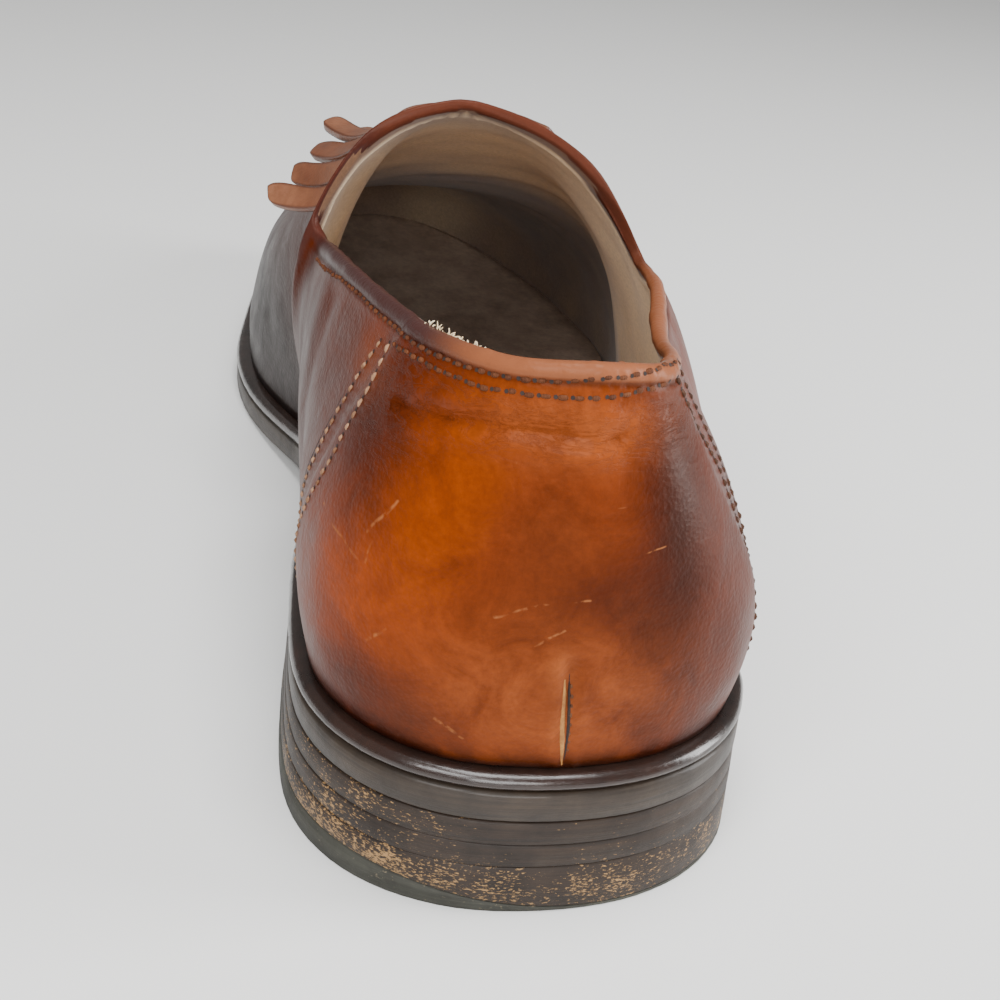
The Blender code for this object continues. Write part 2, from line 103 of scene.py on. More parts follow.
def mixColour(tree, fac, a, b, blend="MIX"):
    node = put(tree, "ShaderNodeMix", data_type="RGBA", blend_type=blend)
    for socket, value in ((node.inputs[0], fac), (node.inputs[6], a), (node.inputs[7], b)):
        if isinstance(value, (int, float)):
            socket.default_value = value
        elif isinstance(value, tuple):
            socket.default_value = (*value, 1.0)
        else:
            tree.links.new(value, socket)
    return node.outputs[2]


def shaded(tree, colour, value):
    # the colour made darker or lighter by a value
    node = put(tree, "ShaderNodeCombineColor")
    for socket in node.inputs:
        tree.links.new(value, socket)
    return mixColour(tree, 1.0, colour, node.outputs[0], "MULTIPLY")


def attributeOf(tree, name):
    return put(tree, "ShaderNodeAttribute", attribute_name=name).outputs["Fac"]


def bump(tree, shader, height, strength, distance, under=None):
    node = put(tree, "ShaderNodeBump", Strength=strength, Distance=distance)
    tree.links.new(height, node.inputs["Height"])
    if under is not None:
        tree.links.new(under, node.inputs["Normal"])
    tree.links.new(node.outputs["Normal"], shader.inputs["Normal"])
    return node.outputs["Normal"]


# Soft copies of CAD nodes

def mergedCopy(node):
    # a CAD node is loose triangles: its corners are joined and its flat pairs made quads
    bm = bmesh.new()
    bm.from_mesh(nodes[node].data)
    for layer in list(bm.loops.layers.uv):
        bm.loops.layers.uv.remove(layer)
    bmesh.ops.remove_doubles(bm, verts=bm.verts[:], dist=0.00002)
    bmesh.ops.join_triangles(bm, faces=bm.faces[:], angle_face_threshold=0.9, angle_shape_threshold=1.2)
    return bm


def creaseSharp(bm, angle, value):
    # edges bent more than the angle keep some of their sharpness in the subdivision
    layer = bm.edges.layers.float.get("crease_edge") or bm.edges.layers.float.new("crease_edge")
    for edge in bm.edges:
        if len(edge.link_faces) == 2 and edge.calc_face_angle(0.0) > angle:
            edge[layer] = value
    return layer


def subdivided(bm, name, levels):
    # the mesh after subdivision, with real vertices to shape further
    mesh = bpy.data.meshes.new(name + "Cage")
    bm.to_mesh(mesh)
    bm.free()
    cage = bpy.data.objects.new(name + "Cage", mesh)
    bpy.context.scene.collection.objects.link(cage)
    modifier = cage.modifiers.new("soft", "SUBSURF")
    modifier.levels = levels
    modifier.render_levels = levels
    depsgraph = bpy.context.evaluated_depsgraph_get()
    soft = bpy.data.meshes.new_from_object(cage.evaluated_get(depsgraph))
    bpy.data.objects.remove(cage, do_unlink=True)
    bpy.data.meshes.remove(mesh)
    return soft


def addPiece(name, mesh, materials, replaced=None):
    mesh.name = name
    for mat in materials:
        mesh.materials.append(mat)
    mesh.shade_smooth()
    piece = bpy.data.objects.new(name, mesh)
    bpy.context.scene.collection.objects.link(piece)
    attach(piece, "root")
    if replaced:
        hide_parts(replaced)
    return piece


def finishPiece(name, bm, materials, replaced=None):
    bmesh.ops.recalc_face_normals(bm, faces=bm.faces[:])
    mesh = bpy.data.meshes.new(name)
    bm.to_mesh(mesh)
    bm.free()
    return addPiece(name, mesh, materials, replaced)


def writeAttribute(mesh, name, values):
    layer = mesh.attributes.new(name, "FLOAT", "POINT")
    layer.data.foreach_set("value", values)


def soften(value, low, high):
    # 0 below low, 1 above high and smooth between
    t = max(0.0, min(1.0, (value - low) / (high - low)))
    return t * t * (3 - 2 * t)


def segmentDistance(point, start, end):
    run = end - start
    share = max(0.0, min(1.0, (point - start).dot(run) / run.length_squared))
    return (point - start - run * share).length, share


def pathDistance(point, path):
    return min(segmentDistance(point, a, b)[0] for a, b in zip(path, path[1:]))


# Leather of the upper

leather = {
    "base": (0.115, 0.0155, 0.0004),
    "glow": (0.215, 0.033, 0.0004),
    "red": (0.040, 0.0050, 0.0007),
    # nearly black: burnish, and painted shade low down, towards the toe, on the inner side and on the outer
    # side of the heel's back
    "burnishAndShade": (0.0025, 0.0009, 0.0008),
    "pale": (0.270, 0.070, 0.018),
    "mauve": (0.046, 0.019, 0.017),
    "rolled": (0.250, 0.082, 0.034),
    "scratch": (0.330, 0.120, 0.040),
    "tints": [  # attribute, the noise that breaks it up, where it starts and ends, and its least share
        ("glow", "cloudy", 0.25, 0.62, 0.55),
        ("red", "wide", 0.3, 0.7, 0.7),
        ("pale", "cloudy", 0.3, 0.65, 0.4),
        ("burnishAndShade", "cloudy", 0.2, 0.7, 0.82),
    ],
    "specular": 0.14,
    "specularTint": (0.76, 0.50, 0.38, 1),
    "coat": 0.04,
    "coatRoughness": 0.22,
    "grain": 1300,  # pores to a metre
}


def upperLeather():
    # orange leather burnished to red and black, the black partly painted shade, with painted shade in the
    # groove under the binding, and with scratches, creases and pores
    mat, tree, shader = newMaterial("burnishedLeather")
    place = objectPlace(tree)
    wide = noiseOf(tree, place, 38, 4, 0.6, 0.4)
    cloudy = noiseOf(tree, place, 110, 5, 0.65, 0.6)
    fine = noiseOf(tree, place, 900, 4, 0.7)
    colour = mixColour(tree, ramp(tree, wide, 0.35, 0.68, 0.0, 0.45), leather["base"], leather["red"])
    patterns = {"wide": wide, "cloudy": cloudy}
    for name, pattern, low, high, least in leather["tints"]:
        broken = ramp(tree, patterns[pattern], low, high, least, 1.0)
        share = maths(tree, "MULTIPLY", attributeOf(tree, name), broken)
        colour = mixColour(tree, share, colour, leather[name])
    colour = shaded(tree, colour, ramp(tree, cloudy, 0.3, 0.7, 0.80, 1.16))
    colour = shaded(tree, colour, ramp(tree, fine, 0.35, 0.7, 0.88, 1.1))
    binding = mixColour(tree, attributeOf(tree, "mauve"), leather["rolled"], leather["mauve"])
    colour = mixColour(tree, attributeOf(tree, "binding"), colour, binding)
    # painted shade in the groove under the binding
    colour = shaded(tree, colour, ramp(tree, attributeOf(tree, "shadedGroove"), 0.0, 1.0, 1.0, 0.45))
    scratches = scratchMask(tree, place)
    colour = mixColour(tree, scratches, colour, leather["scratch"])
    tree.links.new(colour, shader.inputs["Base Color"])
    scraped = maths(tree, "MULTIPLY", scratches, 0.25)
    rough = maths(tree, "ADD", ramp(tree, cloudy, 0.3, 0.7, 0.33, 0.46), scraped)
    tree.links.new(rough, shader.inputs["Roughness"])
    shader.inputs["Specular IOR Level"].default_value = leather["specular"]
    shader.inputs["Specular Tint"].default_value = leather["specularTint"]
    shader.inputs["Coat Weight"].default_value = leather["coat"]
    shader.inputs["Coat Roughness"].default_value = leather["coatRoughness"]
    pores = put(tree, "ShaderNodeTexVoronoi", Scale=leather["grain"])
    tree.links.new(place, pores.inputs["Vector"])
    creased = bump(tree, shader, creaseLines(tree), 0.5, 0.0005)
    uneven = bump(tree, shader, cloudy, 0.22, 0.0012, creased)
    bump(tree, shader, pores.outputs["Distance"], 0.16, 0.0003, uneven)
    return mat


def creaseLines(tree):
    # fine wrinkles, only where the wrinkle attribute says that the leather was pressed
    place = objectPlace(tree, (1, 1, 3.2))
    lines = noiseOf(tree, place, 150, 6, 0.62, 1.6)
    ridge = maths(tree, "ABSOLUTE", maths(tree, "SUBTRACT", lines, 0.5), 0.0)
    return maths(tree, "MULTIPLY", ramp(tree, ridge, 0.0, 0.05, 0.0, 1.0), attributeOf(tree, "wrinkle"))


scratchMarks = [  # both ends on the heel's leather in the shoe's frame, in metres, and the width
    ((-0.0284, -0.0201, 0.0581), (-0.0247, -0.0223, 0.0648), 0.00022),
    ((-0.0335, -0.0070, 0.0562), (-0.0294, -0.0209, 0.0538), 0.00018),
    ((-0.0120, -0.0350, 0.0532), (-0.0046, -0.0365, 0.0556), 0.00016),
    ((-0.0046, -0.0365, 0.0556), (0.0010, -0.0368, 0.0560), 0.00014),
    ((-0.0060, -0.0367, 0.0487), (-0.0018, -0.0369, 0.0513), 0.00016),
    ((-0.0184, -0.0321, 0.0339), (-0.0143, -0.0334, 0.0314), 0.00022),
    ((-0.0282, -0.0248, 0.0432), (-0.0261, -0.0270, 0.0460), 0.00022),
    ((-0.0288, -0.0215, 0.0542), (-0.0276, -0.0218, 0.0579), 0.00018),
    ((-0.0146, -0.0282, 0.0770), (-0.0117, -0.0304, 0.0771), 0.00014),
    ((-0.0117, -0.0304, 0.0771), (-0.0102, -0.0317, 0.0752), 0.00014),
    ((0.0040, -0.0350, 0.0700), (0.0100, -0.0340, 0.0705), 0.00012),
    ((0.0060, -0.0360, 0.0620), (0.0120, -0.0340, 0.0632), 0.00012),
]


def scratchMask(tree, place):
    # thin broken lines between two points, bent a little by noise
    bend = 0.0016
    warp = put(tree, "ShaderNodeTexNoise", Scale=180, Detail=2)
    tree.links.new(place, warp.inputs["Vector"])
    shift = put(tree, "ShaderNodeVectorMath", operation="MULTIPLY_ADD")
    tree.links.new(warp.outputs["Color"], shift.inputs[0])
    shift.inputs[1].default_value = (bend,) * 3
    tree.links.new(place, shift.inputs[2])
    breaks = ramp(tree, noiseOf(tree, place, 700, 3), 0.40, 0.56)
    total = None
    for start, end, width in scratchMarks:
        offset = Vector((bend / 2,) * 3)  # the noise's middle value moves every place by this much
        a, b = Vector(start) + offset, Vector(end) + offset
        run = b - a
        rel = put(tree, "ShaderNodeVectorMath", operation="SUBTRACT")
        tree.links.new(shift.outputs[0], rel.inputs[0])
        rel.inputs[1].default_value = a
        along = put(tree, "ShaderNodeVectorMath", operation="DOT_PRODUCT")
        tree.links.new(rel.outputs[0], along.inputs[0])
        along.inputs[1].default_value = run / run.length_squared
        share = ramp(tree, along.outputs["Value"], 0.0, 1.0, 0.0, 1.0)
        back = put(tree, "ShaderNodeVectorMath", operation="SCALE")
        back.inputs[0].default_value = run
        tree.links.new(share, back.inputs["Scale"])
        gap = put(tree, "ShaderNodeVectorMath", operation="DISTANCE")
        tree.links.new(rel.outputs[0], gap.inputs[0])
        tree.links.new(back.outputs[0], gap.inputs[1])
        line = ramp(tree, gap.outputs["Value"], width * 0.4, width * 1.8, 0.6, 0.0)
        total = line if total is None else maths(tree, "MAXIMUM", total, line)
    return maths(tree, "MULTIPLY", total, breaks)


tan = {
    "light": (0.62, 0.415, 0.205),
    "shade": (0.46, 0.285, 0.130),
    # painted shade deep inside the shoe
    "paintedDeepShade": (0.200, 0.135, 0.105),
    "binding": (0.115, 0.048, 0.017),
    # pale: the lower edge of the dark band, and painted light on the outer side's inner wall
    "edge": (0.84, 0.66, 0.43),
    "roughness": 0.72,
    "sheen": 0.15,
}


def liningLeather():
    # pale tan leather with painted shade deep inside, a dark band along the rim, and a pale line below the
    # band that also carries painted light on the outer side's inner wall
    mat, tree, shader = newMaterial("tanLining")
    place = objectPlace(tree)
    wide = noiseOf(tree, place, 60, 5, 0.6)
    fine = noiseOf(tree, place, 1400, 3, 0.7)
    colour = mixColour(tree, ramp(tree, wide, 0.3, 0.7), tan["light"], tan["shade"])
    # painted shade deep inside, broken up by noise
    paintedDeepShade = maths(tree, "MULTIPLY", attributeOf(tree, "deep"), ramp(tree, wide, 0.25, 0.7, 0.75, 1.0))
    colour = mixColour(tree, paintedDeepShade, colour, tan["paintedDeepShade"])
    for name in ("binding", "edge"):
        colour = mixColour(tree, attributeOf(tree, name), colour, tan[name])
    colour = shaded(tree, colour, ramp(tree, fine, 0.3, 0.7, 0.82, 1.12))
    tree.links.new(colour, shader.inputs["Base Color"])
    shader.inputs["Roughness"].default_value = tan["roughness"]
    shader.inputs["Sheen Weight"].default_value = tan["sheen"]
    uneven = bump(tree, shader, wide, 0.25, 0.002)
    bump(tree, shader, fine, 0.3, 0.0004, uneven)
    return mat


# Upper: a soft copy of the CAD shell, shaped as given

upperForm = {
    "levels": 2,
    "evenedTimes": 6,
    "rimCrease": 0.15,
    "tongueCrease": 0.45,
    "footCrease": 1.0,
    "sharpAngle": 0.9,  # radians
    "footBand": 0.002,  # edges this near the welt are the lower edge
    "rimHeight": 0.022,  # the topline is nowhere nearer the welt than this
    "turnedIn": 0.0012,  # how far the outer leather wraps over the edge
    "liningBand": 0.0022,  # width of the dark band inside the rim
    "liningBandMore": 0.0012,  # what it gains towards the tongue
    "binding": (0.0028, 0.0016),  # width of the rolled binding, at the collar and at the tongue
    "lip": 0.00035,  # height of the band's edge, and depth of the groove under the binding
    "tongueStart": 0.064,  # where the tongue's rim begins along the shoe
    "waviness": 0.00022,
    "folds": 0.0007,  # depth of the soft folds in the lining
    "crinkle": 0.00020,  # of the rolled binding round the collar
    # soft troughs (+) and ridges (-): path in the shoe's frame, width and depth in metres
    "troughs": [
        ([(-0.0244, -0.0133, 0.0757), (-0.0212, -0.0194, 0.0768), (-0.0150, -0.0271, 0.0789),
          (-0.0086, -0.0312, 0.0796), (-0.0021, -0.0333, 0.0797), (0.0040, -0.0330, 0.0792)],
         0.0009, 0.00120),
        ([(-0.0240, -0.0130, 0.0735), (-0.0150, -0.0275, 0.0768), (-0.0021, -0.0340, 0.0775)],
         0.0020, -0.00035),
        ([(-0.0240, -0.0120, 0.0785), (-0.0150, -0.0265, 0.0812), (0.0020, -0.0330, 0.0825)],
         0.0022, -0.00040),
        ([(-0.0194, -0.0205, 0.0796), (-0.0191, -0.0233, 0.0761), (-0.0197, -0.0251, 0.0720)],
         0.0010, 0.00025),
        ([(-0.0285, -0.002, 0.081), (-0.033, 0.003, 0.062), (-0.036, 0.010, 0.046)], 0.0022, 0.0003),
        ([(-0.031, 0.030, 0.075), (-0.036, 0.028, 0.058), (-0.037, 0.024, 0.044)], 0.0035, 0.0006),
        ([(-0.034, 0.052, 0.066), (-0.035, 0.050, 0.048), (-0.033, 0.046, 0.034)], 0.0045, 0.0007),
        ([(0.034, 0.052, 0.066), (0.039, 0.048, 0.048), (0.038, 0.042, 0.034)], 0.0045, 0.0006),
        ([(-0.030, 0.148, 0.028), (-0.012, 0.146, 0.051), (0.010, 0.150, 0.057), (0.034, 0.146, 0.046),
          (0.052, 0.140, 0.026)], 0.0028, 0.0010),
        ([(-0.031, 0.160, 0.026), (-0.010, 0.161, 0.046), (0.014, 0.165, 0.050), (0.040, 0.158, 0.038),
          (0.056, 0.150, 0.022)], 0.0024, 0.0008),
        ([(-0.028, 0.154, 0.030), (0.000, 0.156, 0.052), (0.024, 0.156, 0.052), (0.046, 0.150, 0.034)],
         0.0030, -0.0006),
        ([(0.0007, -0.0350, 0.0274), (0.0003, -0.0360, 0.0344), (-0.0001, -0.0366, 0.0398),
          (-0.0006, -0.0369, 0.0461)], 0.0006, 0.00090),
        ([(-0.0005, -0.0350, 0.0280), (-0.0012, -0.0360, 0.0344), (-0.0019, -0.0366, 0.0398),
          (-0.0026, -0.0368, 0.0456)], 0.0010, -0.00075),
        ([(0.0022, -0.0350, 0.0274), (0.0018, -0.0360, 0.0344), (0.0012, -0.0366, 0.0420)],
         0.0012, -0.00030),
    ],
    # soft zones of colour: attribute, centre and radii in the shoe's frame, in metres, and strength
    "zones": [
        ("glow", (-0.031, -0.019, 0.049), (0.013, 0.020, 0.017), 1.0),
        ("glow", (-0.021, -0.027, 0.064), (0.008, 0.014, 0.012), 0.85),
        ("glow", (-0.002, -0.034, 0.082), (0.022, 0.012, 0.006), 0.85),
        ("glow", (-0.018, -0.024, 0.073), (0.008, 0.012, 0.006), 0.5),
        ("glow", (-0.005, -0.037, 0.041), (0.020, 0.014, 0.013), 0.35),
        ("pale", (-0.003, -0.037, 0.039), (0.020, 0.014, 0.013), 0.60),
        ("pale", (-0.004, -0.034, 0.081), (0.018, 0.012, 0.005), 0.60),
        ("pale", (-0.004, -0.036, 0.068), (0.012, 0.012, 0.008), 0.18),
        ("pale", (-0.0021, -0.0368, 0.0442), (0.0016, 0.004, 0.0030), 0.9),
        ("pale", (-0.0012, -0.0366, 0.0390), (0.0010, 0.004, 0.0060), 0.7),
        ("pale", (-0.029, 0.000, 0.076), (0.006, 0.008, 0.005), 0.3),
        ("red", (-0.026, -0.008, 0.068), (0.010, 0.016, 0.012), 0.95),
        ("red", (-0.028, -0.024, 0.031), (0.014, 0.020, 0.010), 1.25),
        ("red", (-0.033, 0.030, 0.062), (0.012, 0.034, 0.024), 0.75),
        ("red", (0.004, -0.038, 0.056), (0.014, 0.012, 0.008), 0.65),
        ("red", (0.013, -0.033, 0.062), (0.008, 0.012, 0.022), 0.85),
        ("red", (0.022, -0.026, 0.038), (0.014, 0.018, 0.016), 1.0),
        # painted shade on the outer side of the heel's back
        ("burnishAndShade", (0.013, -0.031, 0.076), (0.006, 0.010, 0.014), 0.55),
        ("burnishAndShade", (0.015, -0.032, 0.058), (0.005, 0.010, 0.014), 0.35),
        ("burnishAndShade", (0.027, -0.018, 0.060), (0.010, 0.020, 0.030), 0.35),
    ],
    # pressed wrinkles: centre, radii and strength
    "wrinkles": [
        ((-0.010, -0.031, 0.0795), (0.022, 0.016, 0.0030), 1.0),
        ((-0.024, -0.012, 0.077), (0.008, 0.010, 0.007), 0.8),
        ((0.010, 0.155, 0.050), (0.040, 0.016, 0.03), 0.5),
    ],
}


def zoneWeight(point, centre, radii):
    # 1 at the centre, fading softly past the radii
    square = sum(((p - c) / r) ** 2 for p, c, r in zip(point, centre, radii))
    return math.exp(-square)


def weltHeights():
    # the welt's highest point in each short stretch of the shoe, with its place along it
    perStretch = 24
    points = sorted((v.co.y, v.co.z) for v in nodes["welt"].data.vertices)
    groups = [points[i:i + perStretch] for i in range(0, len(points), perStretch)]
    return [(sum(p[0] for p in group) / len(group), max(p[1] for p in group)) for group in groups]


weltTops = weltHeights()


def featherHeight(y):
    # height of the upper's lower edge along the shoe, read from the welt's top
    return min(weltTops, key=lambda place: abs(place[0] - y))[1]


def hollowTree():
    # what stands round the foot's space: a face that looks across it is the lining
    bm = bmesh.new()
    for node in ("upper", "insole"):
        bm.from_mesh(nodes[node].data)
    tree = BVHTree.FromBMesh(bm)
    bm.free()
    return tree


hollow = hollowTree()


def innerSide(centre, normal):
    # true where a face looks at the shoe's other side, or back at the line down its middle
    hit = hollow.ray_cast(centre + normal * 0.0012, normal, 0.25)
    across = Vector((centre.x - 0.002, centre.y - min(max(centre.y, 0.0), 0.225), 0.0))
    facing = normal.dot(across.normalized()) if across.length > 0.010 else 0.0
    return hit[0] is not None or facing < -0.35


def rimPlaces(bm, layer):
    # points along the topline's two edges, half a millimetre apart
    step = 0.0005
    places = []
    for edge in bm.edges:
        start, end = edge.verts[0].co, edge.verts[1].co
        level = abs(start.z - end.z) < 0.5 * (end - start).length or start.y > 0.045
        above = min(start.z - featherHeight(start.y), end.z - featherHeight(end.y))
        if edge[layer] > 0 and level and above > upperForm["rimHeight"]:
            count = max(1, int((end - start).length / step))
            places.extend(start.lerp(end, i / count) for i in range(count + 1))
    tree = KDTree(len(places))
    for index, place in enumerate(places):
        tree.insert(place, index)
    tree.balance()
    return tree


def evened(mesh, inner):
    # straightens the line between skin and lining: each face follows most of its neighbours
    beside = [[] for _ in mesh.polygons]
    owners = {}
    for polygon in mesh.polygons:
        for key in polygon.edge_keys:
            owners.setdefault(key, []).append(polygon.index)
    for pair in owners.values():
        for index in pair:
            beside[index].extend(other for other in pair if other != index)
    for _ in range(upperForm["evenedTimes"]):
        counts = [sum(inner[other] for other in beside[i]) for i in range(len(inner))]
        inner = [count > len(beside[i]) / 2 if count * 2 != len(beside[i]) else inner[i]
                 for i, count in enumerate(counts)]
    return inner


def pressedDepth(point, paths):
    # how far the troughs and ridges near a point press the skin in
    depth = 0.0
    for path, width, amount in paths:
        gap = pathDistance(point, path)
        if gap < width * 3:
            depth += amount * math.exp(-(gap / width) ** 2)
    return depth + upperForm["waviness"] * noise.noise(point * 85)


def burnishAndShadeWeights(point, collar):
    # how strongly each colour shows at a point of the upper, painted shade among them
    weights = {name: 0.0 for name in ("glow", "red", "pale", "burnishAndShade", "edge", "shadedGroove")}
    for name, centre, radii, strength in upperForm["zones"]:
        weights[name] += strength * zoneWeight(point, centre, radii)
    above = point.z - featherHeight(point.y)
    low = 1 - soften(above, 0.0, 0.0045)
    front = soften(point.y, 0.045, 0.150)
    medial = 1 - soften(point.x, -0.036, -0.022)
    inward = 1 - soften(point.x, -0.022, -0.006)
    # painted shadow along the feather line above the welt; darker and redder towards the toe, burnish
    # together with painted shade
    weights["burnishAndShade"] += 0.85 * low + front * (0.70 * (1 - soften(above, 0.004, 0.045)) + 0.25)
    # painted shade on the inner side, below the collar
    weights["burnishAndShade"] += 0.45 * medial * soften(point.y, -0.002, 0.06) * (1 - soften(above, 0.03, 0.065))
    weights["red"] += 0.9 * front + 0.35 * soften(point.y, 0.0, 0.05)
    weights["glow"] *= 1 - soften(point.y, 0.0, 0.03)
    weights["wrinkle"] = max(strength * zoneWeight(point, centre, radii)
                             for centre, radii, strength in upperForm["wrinkles"])
    # painted shade deep inside the shoe: low down and in the toe
    weights["deep"] = max(1 - soften(above, 0.006, 0.030), soften(point.y, 0.120, 0.150))
    weights["mauve"] = max(inward * soften(point.y, -0.030, -0.010), 0.15, 0.85 * (1 - collar))
    return weights


def dressLining(weights, point, rimGap, collar):
    # the dark band inside the rim, its pale lower edge, painted light on the outer side's inner wall,
    # painted shade under the tongue's rim and the soft folds; gives the dip there
    band = upperForm["liningBand"] + upperForm["liningBandMore"] * (1 - collar)
    bandEdge = math.exp(-((rimGap - band - 0.0011) / 0.0007) ** 2)
    # painted light: pale tan on the inner wall of the outer side, below the dark band, carried by the edge
    # colour
    lit = 0.80 * soften(point.x, 0.006, 0.032) * (1 - soften(rimGap, 0.008, 0.042)) \
        * soften(rimGap, band - 0.0004, band + 0.0006) * soften(point.y, 0.0, 0.02)
    # painted shade under the tongue's rim
    shade = soften(point.y, 0.055, 0.070) * (1 - soften(rimGap, 0.006, 0.024)) \
        * (1 - soften(point.x, 0.0, 0.02))
    weights["binding"] = 1 - soften(rimGap, band - 0.0006, band + 0.0004)
    weights["edge"] = bandEdge * 0.75 + lit
    weights["deep"] = max(weights["deep"], 0.75 * shade)
    folds = noise.noise(Vector((point.x * 60 + point.y * 90, point.z * 45, 3.0)))
    raised = upperForm["lip"] * math.exp(-((rimGap - band - 0.0010) / 0.0007) ** 2)
    return upperForm["folds"] * folds * soften(rimGap, 0.006, 0.014) - raised


def dressRim(weights, point, rimGap, collar):
    # the rolled binding at the topline and the groove beneath it, darkened by painted shade; gives the dip
    # there
    atCollar, atTongue = upperForm["binding"]
    width = atCollar * collar + atTongue * (1 - collar)
    rolled = 1 - soften(rimGap, width - 0.0005, width + 0.0004)
    weights["binding"] = rolled * (0.55 + 0.45 * collar)
    weights["shadedGroove"] = math.exp(-((rimGap - width - 0.0002) / 0.0005) ** 2) * collar
    crinkle = upperForm["crinkle"] * collar * noise.noise(point * 700)
    return upperForm["lip"] * weights["shadedGroove"] + crinkle * (1 - soften(rimGap, width, width + 0.001))


def makeUpper():
    print("stage: upper")
    bm = mergedCopy("upper")
    layer = creaseSharp(bm, upperForm["sharpAngle"], upperForm["rimCrease"])
    for edge in bm.edges:
        middle = (edge.verts[0].co + edge.verts[1].co) / 2
        if edge[layer] > 0 and middle.z < featherHeight(middle.y) + upperForm["footBand"]:
            edge[layer] = upperForm["footCrease"]
        elif edge[layer] > 0 and middle.y > upperForm["tongueStart"]:
            edge[layer] = upperForm["tongueCrease"]
    rimTree = rimPlaces(bm, layer)
    mesh = subdivided(bm, "upperSkin", upperForm["levels"])
    inner = evened(mesh, [innerSide(p.center, p.normal) for p in mesh.polygons])
    inner = [inside and rimTree.find(p.center)[2] > upperForm["turnedIn"]
             for p, inside in zip(mesh.polygons, inner)]
    lining, skin = set(), set()
    for polygon, inside in zip(mesh.polygons, inner):
        polygon.material_index = 1 if inside else 0
        (lining if inside else skin).update(polygon.vertices)
    paths = [([Vector(p) for p in path], width, depth) for path, width, depth in upperForm["troughs"]]
    attributes = {}
    for vertex, normal in zip(mesh.vertices, [v.normal.copy() for v in mesh.vertices]):
        point = vertex.co.copy()
        rimGap = rimTree.find(point)[2]
        collar = 1 - soften(point.y, 0.050, 0.070)
        weights = burnishAndShadeWeights(point, collar)
        if vertex.index not in skin:
            depth = dressLining(weights, point, rimGap, collar)
        else:
            depth = dressRim(weights, point, rimGap, collar)
            if vertex.index in lining:  # the line where the two leathers meet stays where it is
                depth = 0.0
                weights["binding"] = 1.0
            else:
                depth += pressedDepth(point, paths)
        for name, value in weights.items():
            attributes.setdefault(name, []).append(max(0.0, min(1.0, value)))
        vertex.co = point - normal * depth
    for name, values in attributes.items():
        writeAttribute(mesh, name, values)
    return addPiece("upperSkin", mesh, [upperLeather(), liningLeather()], "upper")


upperSkin = makeUpper()


def surfaceTree(piece):
    # the outer leather alone, without the lining
    bm = bmesh.new()
    bm.from_mesh(piece.data)
    bmesh.ops.delete(bm, geom=[f for f in bm.faces if f.material_index != 0], context="FACES")
    tree = BVHTree.FromBMesh(bm)
    bm.free()
    return tree


skinTree = surfaceTree(upperSkin)  # thread and marks are laid on it


def onSkin(point, outward):
    # the nearest place on the skin looking in from outside, with its normal
    outside, reach = 0.02, 0.05
    away = Vector(outward).normalized()
    hit, normal, _, _ = skinTree.ray_cast(Vector(point) + away * outside, -away, reach)
    if hit is None:
        hit, normal, _, _ = skinTree.find_nearest(Vector(point))
    if normal.dot(Vector(outward)) < 0:
        normal = -normal
    return hit, normal


# Thread

def threadMaterial(name, colour, shade):
    mat, tree, shader = newMaterial(name)
    place = objectPlace(tree)
    tone = mixColour(tree, ramp(tree, noiseOf(tree, place, 420, 3), 0.3, 0.7), colour, shade)
    tree.links.new(tone, shader.inputs["Base Color"])
    shader.inputs["Roughness"].default_value = 0.75
    shader.inputs["Specular IOR Level"].default_value = 0.2
    twist = put(tree, "ShaderNodeTexWave", Scale=900, Distortion=1.5)
    tree.links.new(place, twist.inputs["Vector"])
    bump(tree, shader, twist.outputs["Fac"], 0.35, 0.0002)
    return mat


def stitchShape():
    # one stitch along Z, of radius 1 and half-length 1: a six-sided rod with its ends drawn in
    bm = bmesh.new()
    bmesh.ops.create_cone(bm, cap_ends=True, segments=6, radius1=1, radius2=1, depth=2)
    sides = [e for e in bm.edges if abs(e.verts[0].co.z - e.verts[1].co.z) > 1]
    bmesh.ops.subdivide_edges(bm, edges=sides, cuts=3)
    for v in bm.verts:
        full = math.sqrt(max(0.0, 1 - 0.75 * v.co.z ** 2))
        v.co = Vector((v.co.x * full, v.co.y * full - 0.8 * v.co.z ** 2, v.co.z))
    mesh = bpy.data.meshes.new("stitchShape")
    bm.to_mesh(mesh)
    bm.free()
    return mesh


oneStitch = stitchShape()


def laidThread(bm, start, end, normal, radius, sink=0.05):
    # a stitch from start to end, sunk into the leather by a share of its radius
    run = (end - start).normalized()
    across = run.cross(normal).normalized()
    up = across.cross(run)
    middle = (start + end) / 2
    first = len(bm.verts)
    bm.from_mesh(oneStitch)
    bm.verts.ensure_lookup_table()
    half = (end - start).length / 2
    for v in bm.verts[first:]:
        v.co = middle + across * v.co.x * radius + up * (v.co.y - sink) * radius + run * v.co.z * half


def pathPoints(path, step):
    # points at an even step along a path laid on the skin
    fineStep = 0.0006
    points = [onSkin(p, n) for p, n in path]
    dense = []
    for (a, na), (b, nb) in zip(points, points[1:]):
        count = max(1, int((b - a).length / fineStep))
        for i in range(count):
            dense.append((a.lerp(b, i / count), na.lerp(nb, i / count).normalized()))
    dense.append(points[-1])
    laid = []
    travelled, target = 0.0, 0.0
    for (a, na), (b, nb) in zip(dense, dense[1:]):
        length = (b - a).length
        while target <= travelled + length and length > 0:
            share = (target - travelled) / length
            laid.append((a.lerp(b, share), na.lerp(nb, share).normalized()))
            target += step
        travelled += length
    return [onSkin(point, normal) for point, normal in laid]


